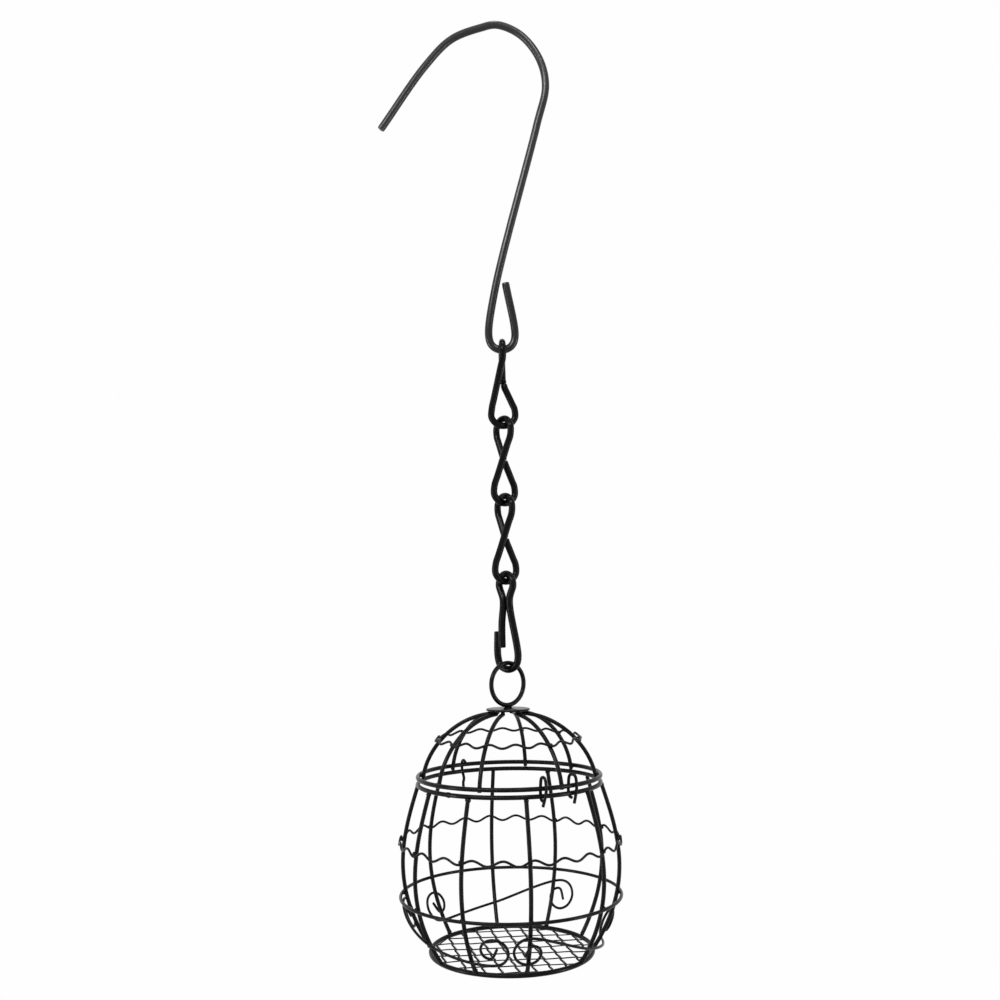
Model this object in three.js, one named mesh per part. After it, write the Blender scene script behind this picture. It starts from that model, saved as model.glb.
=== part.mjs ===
// Hanging fat ball feeder of black painted steel wire: a long hook, a short chain, a snap clip, and a
// round wire cage whose basket swings open from its domed lid.
// Millimetres, +Z up, +X to the right, -Y to the front. The origin is where a branch bears inside the
// top of the hook, and everything else hangs below it on the Z axis.
// Angles round the cage are in degrees, counted from the front towards the right.
import * as THREE from 'three';

// Clearances
const weldGap = 0.3; // between wires that lie side by side at a weld, or that hang on each other
const buttGap = 0.5; // between a slanting wire end and the ring that it is welded to
const runningGap = 0.35; // round a rim that turns inside a hinge loop or a latch

// Hook: the bends of its upper part, measured sideways and down from the crest of the wire
const hookWire = 3.7;
const hookDrop = 157.8; // from the branch to the inside of the eye's bottom
const hookTip = [-57.2, -52];
const hookLegTop = [-35.1, -20.1];
const hookShoulder = [-22.3, -7];
const hookRise = [-8.1, -1.4];
const hookFall = [11.4, -5.3];
const hookOuterBend = [20.2, -17.1];
const hookSide = [23.2, -31];
const hookShankTop = [18.6, -50.9];
const eyeRadius = 6.2;
const eyeShoulderHeight = 22.2; // from the eye's middle up to where the shank starts to open
const eyeShoulderOffset = 3.2;
const eyeEndHeight = 26.5; // from the eye's middle up to the cut end beside the shank
const eyeEndOffset = 2.1;

// Chain links: a figure of eight with its two loops in different planes
const linkWire = 3.2;
const linkLength = 43.5;
const linkBend = 5.9; // radius of the end bends
const linkKnee = 2.0; // height above and below the middle where the sides turn towards each other
const linkSlit = 0.4; // between the two cut ends
const linkYaws = [
  { upper: -88, lower: 8 },
  { upper: -54, lower: 31 },
  { upper: -54, lower: 31 },
];

// Snap clip: one springy wire whose free leg rests beside its hooked end
const clipWire = 3.4;
const clipLength = 47.8;
const clipTopBend = 5.0;
const clipLowBend = 5.6;
const clipWaistDrop = 14; // from the top of the clip
const clipGateDrop = 36; // to the free end of the gate
const clipHookDrop = 28.4; // to the tip of the hooked end
const clipGateOffset = 2.0;
const clipUpperYaw = -50;
const clipLowerYaw = -26;

// Ring and crown of the lid
const ringWire = 2.1;
const ringOuter = 21.4;
const ringYaw = 39;
const crownRadius = 10.2;
const crownEdge = 0.9;
const crownDome = 0.2;

// Lid
const rimRadius = 42; // centre of both rims
const rimWire = 2.0;
const lidHeight = 30.55; // from the crown's top to the middle of the lid rim
const lidRibWire = 1.9;
const lidRibStart = 6.5; // radius of the inner rib ends, under the crown
const lidRibTopReach = 19; // how far the ribs run out before they turn down
const lidRibTopFall = 1.0;
const lidRibLean = 8; // from upright where a rib meets the rim
const lidRibFootReach = 12;
const lidRibTail = 1.4; // below the rim
const lidRibAngles = [-137, -94, -51, -19, 34.5, 82, 131, 168];
const lidWaveWire = 1.1;
const lidWaveRise = 15.8; // of the wavy hoop above the lid rim
const lidWaveDepth = 0.95; // half of the wave's height
const lidWaveCount = 18;

// Basket
const rimSpacing = 3.2; // between the middles of the two rims
const basketDrop = 74.8; // from the basket rim to the middle of the base ring
const bellyRadius = 49.7; // of the ribs, half-way down
const ribWire = 1.9;
const ribLean = 17.5; // from upright where a rib leaves the rim
const ribTopReach = 21; // how far the ribs follow that lean
const ribToeIn = 34; // from upright where a rib meets the base ring
const ribAngles = [9.4, 54, 88, 118, 153, 190.5, 231.5, 266, 303, 335];
const basketWaveWire = 1.1;
const basketWaveDrop = 25.9;
const basketWaveDepth = 1.15;
const basketWaveCount = 24;
const bellyWire = 1.5;
const bellyDrop = 49.5;
const baseRadius = 36.8;
const baseWire = 2.2;

// Scrolls on the lower wall, half-way between the belly hoop and the base ring. A lift is a share of the
// spare height that a spiral has under the belly hoop, and one below 0 lowers it
const scrollWire = 1.2;
const bentScrolls = [
  { firstAngle: -95, firstLift: 0.9, lastAngle: -10.4, lastLift: 0 }, // middles of the two spirals
  { firstAngle: 9.1, firstLift: 0, lastAngle: 97, lastLift: -0.6 },
  { firstAngle: 148.5, firstLift: 0.45, lastAngle: 230.9, lastLift: 0.05 },
];
const scrollSag = 3.5; // of the wire between its spirals
const scrollCurl = 3; // the higher, the later its spirals tighten
const scrollRadius = 6.7; // at the start of a spiral
const scrollEndRadius = 3.0; // at the end of its turn
const scrollSweep = 345; // degrees that a spiral turns through
const scrollTail = 5.6; // straight end inside the spiral
const scrollTailLean = 60; // from level

// Floor netting
const netPitch = 7.26;
const netRow = 8.6;
const netTwist = 5.3; // length of the sides where two wires are twisted together
const netStrand = 0.9;
const netThickness = 0.8;
const netEdge = 1.0; // width of the wrapped border
const netSkew = 0.625; // how far the rows are pulled to one side, as a share of their distance
const netSmallestGap = 3; // square millimetres

// Hinge loops and latch
const loopWire = 1.4;
const hingeAngles = [20, 40.5];
const loopRise = 4.7; // of a loop's top above the middle of the lid rim
const loopTail = 4.2; // below the middle of the basket rim
const loopSpread = 0.5; // half of the sideways step between a loop's two legs
const loopTailStep = 1.2; // how far the end of the tail leans the other way
const latchAngle = -148.4;
const latchLength = 11.3; // below the middle of the lid rim
const latchLean = 0.5; // how far its end stands to one side
const latchCatch = 0.7; // how far out the catch stops under the basket rim
const latchFlare = 1.6;
const latchEyeEnd = 150; // degrees round the lid rim where the latch's wire starts

// Heights, from the branch down
const eyeBottom = -hookDrop - hookWire / 2;
const linkPitch = linkLength - 2 * linkWire - weldGap;
const linkTop = -hookDrop + weldGap + linkWire;
const lastLinkBottom = linkTop - (linkYaws.length - 1) * linkPitch - linkLength;
const clipTop = lastLinkBottom + linkWire + weldGap + clipWire;
const clipBottom = clipTop - clipLength;
const ringTop = clipBottom + clipWire + weldGap + ringWire;
const ringMiddle = ringTop - ringOuter / 2;
const crownTop = ringTop - ringOuter - weldGap;
const lidRimHeight = crownTop - lidHeight;
const basketRimHeight = lidRimHeight - rimSpacing;

const radians = THREE.MathUtils.degToRad;

// Facets: steps along a wire and sides round it
const facets = {
  hook: [56, 8],
  link: [38, 6],
  clip: [44, 6],
  ring: [24, 8],
  crown: [24, 4],
  lidRib: [10, 6],
  basketRib: [11, 6],
  wave: [4, 5], // steps in each wave
  hoop: [40, 6],
  base: [40, 8],
  scroll: [54, 5],
  loop: [26, 6],
  net: 24,
};
const profileSamples = 24; // points along a rib's bow

// Materials: all of the wire is painted black, and the thicker pieces show more sheen
function paintedSteel(color, roughness) {
  return new THREE.MeshStandardMaterial({ color, roughness, metalness: 0.35 });
}
const hookPaint = () => paintedSteel(0x242527, 0.35);
const chainPaint = () => paintedSteel(0x161719, 0.38);
const cagePaint = () => paintedSteel(0x121315, 0.42);
const netPaint = () => paintedSteel(0x1c1d1f, 0.55);

// A point in the upright plane through the Z axis that is turned by yaw, with a step square to that plane
function planePoint(yaw, along, height, across = 0) {
  const turn = radians(yaw);
  const x = along * Math.cos(turn) - across * Math.sin(turn);
  const y = along * Math.sin(turn) + across * Math.cos(turn);
  return new THREE.Vector3(x, y, height);
}

// Points on an arc round a centre in such a plane, from one angle to another in steps of about 45 degrees
const arcStep = 45;

function arcPoints(yaw, radius, centreHeight, from, to, across = () => 0) {
  const steps = Math.round(Math.abs(to - from) / arcStep);
  return Array.from({ length: steps + 1 }, (_, i) => {
    const angle = radians(from + ((to - from) * i) / steps);
    const height = centreHeight + radius * Math.sin(angle);
    return planePoint(yaw, radius * Math.cos(angle), height, across(i / steps));
  });
}

function smoothPath(points) {
  return new THREE.CatmullRomCurve3(points, false, 'centripetal');
}

// A wire of round section with two cut ends
function openWire(path, diameter, steps, sides) {
  const section = new THREE.Shape();
  for (let i = 0; i < sides; i += 1) {
    const angle = (2 * Math.PI * i) / sides;
    const x = (diameter / 2) * Math.cos(angle);
    const y = (diameter / 2) * Math.sin(angle);
    if (i === 0) section.moveTo(x, y);
    else section.lineTo(x, y);
  }
  return new THREE.ExtrudeGeometry(section, { steps, extrudePath: path });
}

function named(name, geometry, material) {
  const mesh = new THREE.Mesh(geometry, material);
  mesh.name = name;
  return mesh;
}

// Turns a piece that was made on the +X side to its own place round the cage
function placeAround(mesh, angle) {
  mesh.rotation.z = radians(angle - 90);
  return mesh;
}

// Hook
function hangingHook() {
  const crestHeight = hookWire / 2;
  const eyeMiddle = eyeBottom + eyeRadius;
  const crest = [0, 0];
  const leg = [hookTip, hookLegTop, hookShoulder, hookRise, crest];
  const bends = [...leg, hookFall, hookOuterBend, hookSide, hookShankTop];
  const path = smoothPath([
    ...bends.map(([x, drop]) => new THREE.Vector3(x, 0, crestHeight + drop)),
    planePoint(0, -eyeShoulderOffset, eyeMiddle + eyeShoulderHeight),
    ...arcPoints(0, eyeRadius, eyeMiddle, 180, 360),
    planePoint(0, eyeEndOffset, eyeMiddle + eyeEndHeight),
  ]);
  return named('hanging_hook', openWire(path, hookWire, ...facets.hook), hookPaint());
}

// Two points that keep the stretch between two others straight
const straightShares = [0.2, 0.8];

function straightPoints(from, to) {
  return straightShares.map((share) => from.clone().lerp(to, share));
}

// Chain: two drop-shaped loops with straight sides. The wire that joins them passes in front, and both cut
// ends meet behind it, in the middle of the link
function chainLink(index) {
  const { upper, lower } = linkYaws[index];
  const reach = (linkLength - linkWire) / 2 - linkBend;
  const taper = Math.asin(linkBend / reach);
  const lean = THREE.MathUtils.radToDeg(taper);
  const kneeOffset = linkKnee * Math.tan(taper);
  const upperKnee = planePoint(upper, -kneeOffset, linkKnee);
  const lowerKnee = planePoint(lower, kneeOffset, -linkKnee);
  const endShare = (1 - linkSlit / upperKnee.distanceTo(lowerKnee)) / 2;
  const upperBend = arcPoints(upper, linkBend, reach, 180 + lean, -lean);
  const lowerBend = arcPoints(lower, linkBend, -reach, 180 - lean, 360 + lean);
  const path = smoothPath([
    upperKnee.clone().lerp(lowerKnee, endShare),
    upperKnee,
    ...straightPoints(upperKnee, upperBend[0]),
    ...upperBend,
    ...straightPoints(upperBend.at(-1), lowerBend[0]),
    ...lowerBend,
    ...straightPoints(lowerBend.at(-1), lowerKnee),
    lowerKnee,
    lowerKnee.clone().lerp(upperKnee, endShare),
  ]);
  const link = named(`chain_link_${index + 1}`, openWire(path, linkWire, ...facets.link), chainPaint());
  link.position.z = linkTop - linkLength / 2 - index * linkPitch;
  return link;
}

// Snap clip: from the free end of the gate, round the top bend, down the back and round the hooked end
function snapClip() {
  const sideStep = (clipWire + weldGap) / 2;
  const waistYaw = (clipUpperYaw + clipLowerYaw) / 2;
  const topMiddle = -clipWire / 2 - clipTopBend;
  const lowMiddle = -clipLength + clipWire / 2 + clipLowBend;
  const midGate = -(clipWaistDrop + clipGateDrop) / 2;
  const path = smoothPath([
    planePoint(clipLowerYaw, -clipGateOffset, -clipGateDrop, -sideStep / 2),
    planePoint(clipLowerYaw, -clipGateOffset, midGate, -sideStep / 2),
    planePoint(waistYaw, -sideStep, -clipWaistDrop),
    ...arcPoints(clipUpperYaw, clipTopBend, topMiddle, 180, 0),
    planePoint(waistYaw, sideStep, -clipWaistDrop),
    ...arcPoints(clipLowerYaw, clipLowBend, lowMiddle, 0, -180, (t) => t * sideStep),
    planePoint(clipLowerYaw, -clipLowBend, -clipHookDrop, sideStep),
  ]);
  const clip = named('snap_clip', openWire(path, clipWire, ...facets.clip), chainPaint());
  clip.position.z = clipTop;
  return clip;
}

// Ring and crown
function hangingRing() {
  const [steps, sides] = facets.ring;
  const geometry = new THREE.TorusGeometry((ringOuter - ringWire) / 2, ringWire / 2, sides, steps);
  geometry.rotateX(Math.PI / 2);
  const ring = named('hanging_ring', geometry, cagePaint());
  ring.position.z = ringMiddle;
  ring.rotation.z = radians(ringYaw);
  return ring;
}

function lidCrown() {
  const [steps, domeSteps] = facets.crown;
  const domeRadius = (crownRadius ** 2 + crownDome ** 2) / (2 * crownDome);
  const underside = -crownEdge - crownDome;
  const profile = [new THREE.Vector2(0, underside), new THREE.Vector2(crownRadius, underside)];
  for (let i = 0; i <= domeSteps; i += 1) {
    const radius = crownRadius * (1 - i / domeSteps);
    profile.push(new THREE.Vector2(radius, Math.sqrt(domeRadius ** 2 - radius ** 2) - domeRadius));
  }
  const geometry = new THREE.LatheGeometry(profile, steps);
  geometry.rotateX(Math.PI / 2);
  const crown = named('lid_crown', geometry, cagePaint());
  crown.position.z = crownTop;
  return crown;
}

// Rib profiles: x is the radius and y the height, from the rim that each group hangs on
function lidRibProfile() {
  const lean = radians(lidRibLean);
  const down = new THREE.Vector2(Math.sin(lean), -Math.cos(lean));
  const inward = new THREE.Vector2(-Math.cos(lean), -Math.sin(lean));
  const crownUnderside = lidHeight - crownEdge - crownDome;
  const start = new THREE.Vector2(lidRibStart, crownUnderside - weldGap - lidRibWire / 2);
  const standIn = rimWire / 2 + lidRibWire / 2 + weldGap;
  const seat = new THREE.Vector2(rimRadius, 0).addScaledVector(inward, standIn);
  const bow = new THREE.CubicBezierCurve(
    start,
    new THREE.Vector2(start.x + lidRibTopReach, start.y - lidRibTopFall),
    seat.clone().addScaledVector(down, -lidRibFootReach),
    seat,
  );
  return { bow, end: seat.clone().addScaledVector(down, lidRibTail) };
}

function basketRibProfile() {
  const lean = radians(ribLean);
  const toe = radians(ribToeIn);
  const start = new THREE.Vector2(Math.sin(lean), -Math.cos(lean))
    .multiplyScalar(rimWire / 2 + buttGap)
    .add(new THREE.Vector2(rimRadius, 0));
  const end = new THREE.Vector2(Math.sin(toe), Math.cos(toe))
    .multiplyScalar(baseWire / 2 + buttGap)
    .add(new THREE.Vector2(baseRadius, -basketDrop));
  const topHandle = new THREE.Vector2(Math.sin(lean), -Math.cos(lean))
    .multiplyScalar(ribTopReach)
    .add(start);
  // half-way along the bow its radius is an eighth of each end and three eighths of each handle
  const lowHandleRadius = (bellyRadius - (start.x + end.x) / 8) / (3 / 8) - topHandle.x;
  const lowReach = (lowHandleRadius - end.x) / Math.sin(toe);
  const lowHandle = new THREE.Vector2(Math.sin(toe), Math.cos(toe))
    .multiplyScalar(lowReach)
    .add(end);
  return new THREE.CubicBezierCurve(start, topHandle, lowHandle, end);
}

const lidBow = lidRibProfile();
const basketBow = basketRibProfile();

// How far along a bow, from 0 to 1, it passes a height
function shareAtHeight(bow, height) {
  const halvings = 40;
  let above = 0;
  let below = 1;
  for (let i = 0; i < halvings; i += 1) {
    const middle = (above + below) / 2;
    if (bow.getPointAt(middle).y > height) above = middle;
    else below = middle;
  }
  return (above + below) / 2;
}

// A point outside a bow, stood off square to it, as radius and height
function outsideBow(bow, share, standOff) {
  const tangent = bow.getTangentAt(share);
  const point = bow.getPointAt(share);
  return new THREE.Vector2(point.x - tangent.y * standOff, point.y + tangent.x * standOff);
}

function uprightPath(bow) {
  return bow.getSpacedPoints(profileSamples).map((p) => new THREE.Vector3(p.x, 0, p.y));
}

function lidRib(index) {
  const end = new THREE.Vector3(lidBow.end.x, 0, lidBow.end.y);
  const path = smoothPath([...uprightPath(lidBow.bow), end]);
  const rib = named(`lid_rib_${index + 1}`, openWire(path, lidRibWire, ...facets.lidRib), cagePaint());
  return placeAround(rib, lidRibAngles[index]);
}

function basketRib(index) {
  const path = smoothPath(uprightPath(basketBow));
  const rib = named(`basket_rib_${index + 1}`, openWire(path, ribWire, ...facets.basketRib), cagePaint());
  return placeAround(rib, ribAngles[index]);
}

// A thin hoop that waves up and down along the outside of the ribs
class WavyHoop extends THREE.Curve {
  constructor(bow, height, depth, count, standOff) {
    super();
    this.bow = bow;
    this.share = shareAtHeight(bow, height);
    this.depth = depth / bow.getLength();
    this.count = count;
    this.standOff = standOff;
  }

  getPoint(t, target = new THREE.Vector3()) {
    const angle = 2 * Math.PI * t;
    const share = this.share + this.depth * Math.sin(this.count * angle);
    const place = outsideBow(this.bow, share, this.standOff);
    return target.set(place.x * Math.cos(angle), place.x * Math.sin(angle), place.y);
  }
}

function waveTube(path, wire) {
  const [stepsPerWave, sides] = facets.wave;
  return new THREE.TubeGeometry(path, path.count * stepsPerWave, wire / 2, sides, true);
}

function lidWaveHoop() {
  const standOff = lidRibWire / 2 + lidWaveWire / 2 + weldGap;
  const path = new WavyHoop(lidBow.bow, lidWaveRise, lidWaveDepth, lidWaveCount, standOff);
  return named('lid_wave_hoop', waveTube(path, lidWaveWire), cagePaint());
}

function basketWaveHoop() {
  const standOff = ribWire / 2 + basketWaveWire / 2 + weldGap;
  const path = new WavyHoop(basketBow, -basketWaveDrop, basketWaveDepth, basketWaveCount, standOff);
  return named('basket_wave_hoop', waveTube(path, basketWaveWire), cagePaint());
}

function levelHoop(name, radius, wire) {
  const [steps, sides] = facets.hoop;
  return named(name, new THREE.TorusGeometry(radius, wire / 2, sides, steps), cagePaint());
}

function bellyHoop() {
  const standOff = ribWire / 2 + bellyWire / 2 + weldGap;
  const place = outsideBow(basketBow, shareAtHeight(basketBow, -bellyDrop), standOff);
  const hoop = levelHoop('belly_hoop', place.x, bellyWire);
  hoop.position.z = place.y;
  return hoop;
}

// The base ring is pressed flat underneath, so that the cage can also stand
function baseRing() {
  const [steps, sides] = facets.base;
  const halfSide = Math.PI / sides;
  const profile = [];
  for (let i = 0; i <= sides; i += 1) {
    const angle = (2 * Math.PI * i) / sides + halfSide;
    const radius = baseRadius + (baseWire / 2) * Math.cos(angle);
    profile.push(new THREE.Vector2(radius, (baseWire / 2) * Math.sin(angle)));
  }
  const geometry = new THREE.LatheGeometry(profile, steps);
  geometry.rotateX(Math.PI / 2);
  const ring = named('base_ring', geometry, cagePaint());
  ring.position.z = -basketDrop;
  return ring;
}

// A scroll is drawn flat, with its middle at 0,0, and then bent round the lower wall
class WallScroll extends THREE.Curve {
  constructor(drawing) {
    super();
    this.drawing = drawing;
    this.share = shareAtHeight(basketBow, -scrollDrop);
    this.length = basketBow.getLength();
  }

  getPoint(t, target = new THREE.Vector3()) {
    const drawn = this.drawing.getPointAt(t);
    const place = outsideBow(basketBow, this.share - drawn.y / this.length, scrollStandOff);
    const angle = drawn.x / scrollWallRadius;
    return target.set(place.x * Math.cos(angle), place.x * Math.sin(angle), place.y);
  }
}

const scrollDrop = (bellyDrop + basketDrop) / 2;
const scrollSpare = basketDrop - scrollDrop - scrollRadius - scrollWire / 2 - bellyWire / 2 - weldGap;
const scrollStandOff = ribWire / 2 + scrollWire / 2 + weldGap;
const scrollWallRadius = outsideBow(basketBow, shareAtHeight(basketBow, -scrollDrop), scrollStandOff).x;

// A spiral that starts at its bottom and runs to the right, with a straight end inside
function spiralPoints() {
  const steps = Math.round(scrollSweep / arcStep);
  const points = [];
  for (let i = 0; i <= steps; i += 1) {
    const angle = radians((scrollSweep * i) / steps - 90);
    const radius = scrollRadius + (scrollEndRadius - scrollRadius) * (i / steps) ** scrollCurl;
    points.push(new THREE.Vector3(radius * Math.cos(angle), radius * Math.sin(angle), 0));
  }
  const lean = radians(scrollTailLean);
  const tail = new THREE.Vector3(Math.cos(lean), Math.sin(lean), 0).multiplyScalar(scrollTail);
  points.push(tail.add(points[steps]));
  return points;
}

// Two spirals round their middles, the left one upside down, and the wire between them
function scrollDrawing(left, right) {
  const leftSpiral = spiralPoints().map((p) => left.clone().sub(p));
  const rightSpiral = spiralPoints().map((p) => right.clone().add(p));
  const middle = left.clone().lerp(right, 0.5).sub(new THREE.Vector3(0, scrollSag, 0));
  return smoothPath([...leftSpiral.reverse(), middle, ...rightSpiral]);
}

function bentScroll(index) {
  const { firstAngle, firstLift, lastAngle, lastLift } = bentScrolls[index];
  const halfReach = (scrollWallRadius * radians(lastAngle - firstAngle)) / 2;
  const left = new THREE.Vector3(-halfReach, firstLift * scrollSpare, 0);
  const right = new THREE.Vector3(halfReach, lastLift * scrollSpare, 0);
  const wire = openWire(new WallScroll(scrollDrawing(left, right)), scrollWire, ...facets.scroll);
  return placeAround(named(`bent_scroll_${index + 1}`, wire, cagePaint()), (firstAngle + lastAngle) / 2);
}

// Keeps the part of a convex outline that lies inside a circle, with a straight side where it is cut
function trimToCircle(outline, radius) {
  const kept = [];
  outline.forEach((point, i) => {
    const side = outline[(i + 1) % outline.length].clone().sub(point);
    if (point.length() <= radius) kept.push(point);
    const half = point.dot(side) / side.lengthSq();
    const root = Math.sqrt(half ** 2 - (point.lengthSq() - radius ** 2) / side.lengthSq());
    [-half - root, -half + root]
      .filter((share) => share > 0 && share < 1)
      .forEach((share) => kept.push(point.clone().addScaledVector(side, share)));
  });
  return kept;
}

// Six-sided netting, cut round and flat, with whole gaps inside and trimmed ones at the border
function floorNet() {
  const radius = baseRadius - baseWire / 2 - weldGap;
  const point = netRow - netTwist;
  const slope = Math.atan2(point, netPitch / 2);
  const tip = netTwist / 2 + point - netStrand / 2 / Math.cos(slope);
  const halfWidth = (netPitch - netStrand) / 2;
  const corner = tip - halfWidth * Math.tan(slope);
  const gap = [
    new THREE.Vector2(halfWidth, -corner),
    new THREE.Vector2(halfWidth, corner),
    new THREE.Vector2(0, tip),
    new THREE.Vector2(-halfWidth, corner),
    new THREE.Vector2(-halfWidth, -corner),
    new THREE.Vector2(0, -tip),
  ];
  const sheet = new THREE.Shape();
  sheet.absarc(0, 0, radius, 0, 2 * Math.PI);
  const skewed = (p) => new THREE.Vector2(p.x - netSkew * p.y, p.y);
  const rows = Math.ceil(radius / netRow);
  const columns = Math.ceil(((1 + netSkew) * radius) / netPitch);
  for (let row = -rows; row <= rows; row += 1) {
    const shift = row % 2 === 0 ? 0 : netPitch / 2;
    for (let column = -columns; column <= columns; column += 1) {
      const middle = new THREE.Vector2(column * netPitch + shift, row * netRow);
      const whole = gap.map((p) => skewed(p.clone().add(middle)));
      const open = trimToCircle(whole, radius - netEdge);
      if (open.length > 2 && Math.abs(THREE.ShapeUtils.area(open)) > netSmallestGap) {
        sheet.holes.push(new THREE.Path(open));
      }
    }
  }
  const geometry = new THREE.ExtrudeGeometry(sheet, {
    depth: netThickness,
    bevelEnabled: false,
    curveSegments: facets.net,
  });
  const net = named('floor_net', geometry, netPaint());
  net.position.z = -basketDrop - netThickness / 2;
  return net;
}

// A hinge loop goes up outside both rims, over the lid rim, and down inside to end under the basket rim
function hingeLoop(index) {
  const side = rimWire / 2 + loopWire / 2 + runningGap;
  const place = (out, along, height) => new THREE.Vector3(rimRadius + out, along, height);
  const roundRim = (angle, along, rimHeight) => {
    const turn = radians(angle);
    return place(side * Math.cos(turn), along, rimHeight + side * Math.sin(turn));
  };
  const shoulder = loopRise - side;
  const path = smoothPath([
    place(side, -loopTailStep, -rimSpacing - loopTail),
    place(side, 0, -rimSpacing),
    place(side, loopSpread, 0),
    roundRim(arcStep, loopSpread / 2, shoulder),
    roundRim(2 * arcStep, 0, shoulder),
    roundRim(3 * arcStep, -loopSpread / 2, shoulder),
    place(-side, -loopSpread, 0),
    roundRim(-4 * arcStep, -loopSpread, -rimSpacing),
    roundRim(-3 * arcStep, -loopSpread, -rimSpacing),
    roundRim(-2 * arcStep, -loopSpread, -rimSpacing),
  ]);
  const loop = named(`hinge_loop_${index + 1}`, openWire(path, loopWire, ...facets.loop), cagePaint());
  return placeAround(loop, hingeAngles[index]);
}

// The latch hooks over the lid rim, runs down outside both rims, and turns in under the basket rim
function latchWire() {
  const side = rimWire / 2 + loopWire / 2 + runningGap;
  const catchHeight = -rimSpacing - side - loopWire;
  const leanShare = latchLean / latchLength;
  const place = (out, height) => new THREE.Vector3(rimRadius + out, leanShare * height, height);
  const onEye = (angle) => place(side * Math.cos(radians(angle)), side * Math.sin(radians(angle)));
  const path = smoothPath([
    onEye(latchEyeEnd),
    onEye(2 * arcStep),
    onEye(arcStep),
    onEye(0),
    place(side, -rimSpacing),
    place(latchCatch, catchHeight),
    place(latchFlare, (catchHeight - latchLength) / 2),
    place(latchFlare, -latchLength),
  ]);
  const latch = named('latch_wire', openWire(path, loopWire, ...facets.loop), cagePaint());
  return placeAround(latch, latchAngle);
}

// Assembly
const lid = new THREE.Group();
lid.position.z = lidRimHeight;
lid.add(levelHoop('lid_rim', rimRadius, rimWire), lidWaveHoop(), latchWire());
lidRibAngles.forEach((_, i) => lid.add(lidRib(i)));
hingeAngles.forEach((_, i) => lid.add(hingeLoop(i)));

const basket = new THREE.Group();
basket.position.z = basketRimHeight;
basket.add(levelHoop('basket_rim', rimRadius, rimWire), basketWaveHoop(), bellyHoop());
basket.add(baseRing(), floorNet());
ribAngles.forEach((_, i) => basket.add(basketRib(i)));
bentScrolls.forEach((_, i) => basket.add(bentScroll(i)));

const feeder = new THREE.Group();
feeder.add(hangingHook(), snapClip(), hangingRing(), lidCrown(), lid, basket);
linkYaws.forEach((_, i) => feeder.add(chainLink(i)));

export default feeder;
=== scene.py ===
import math
import random

import bmesh
import bpy
from mathutils import Matrix, Vector, noise


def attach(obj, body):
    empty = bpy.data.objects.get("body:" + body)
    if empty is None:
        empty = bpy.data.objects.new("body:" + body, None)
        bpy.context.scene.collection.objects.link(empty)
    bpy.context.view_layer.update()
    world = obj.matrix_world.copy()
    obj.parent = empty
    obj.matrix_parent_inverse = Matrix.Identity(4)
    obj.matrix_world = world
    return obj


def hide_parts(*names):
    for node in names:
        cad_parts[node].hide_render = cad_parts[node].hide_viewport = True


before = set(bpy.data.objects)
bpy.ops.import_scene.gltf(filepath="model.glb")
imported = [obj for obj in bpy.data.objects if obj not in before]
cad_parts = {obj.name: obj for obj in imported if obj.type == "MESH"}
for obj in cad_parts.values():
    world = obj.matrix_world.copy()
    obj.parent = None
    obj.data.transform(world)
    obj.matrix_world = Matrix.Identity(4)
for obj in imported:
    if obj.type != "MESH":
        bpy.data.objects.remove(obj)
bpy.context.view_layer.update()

mm = 0.001  # sizes of the wires are in millimetres, and angles in degrees


# What the paints share: where their mottling, dust and sheen begin and end, and the depth of the orange peel
paintFilm = {
    "grain": 0.55, "toneDetail": 5, "toneFrom": 0.32, "toneTo": 0.72,
    "dustDetail": 8, "dustGrain": 0.7, "dustFrom": 0.64, "dustTo": 0.78,
    "sheenDetail": 3, "sheenFrom": 0.3, "sheenTo": 0.7,
    "peelDetail": 2, "peelDepth": 0.00012,
}


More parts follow.
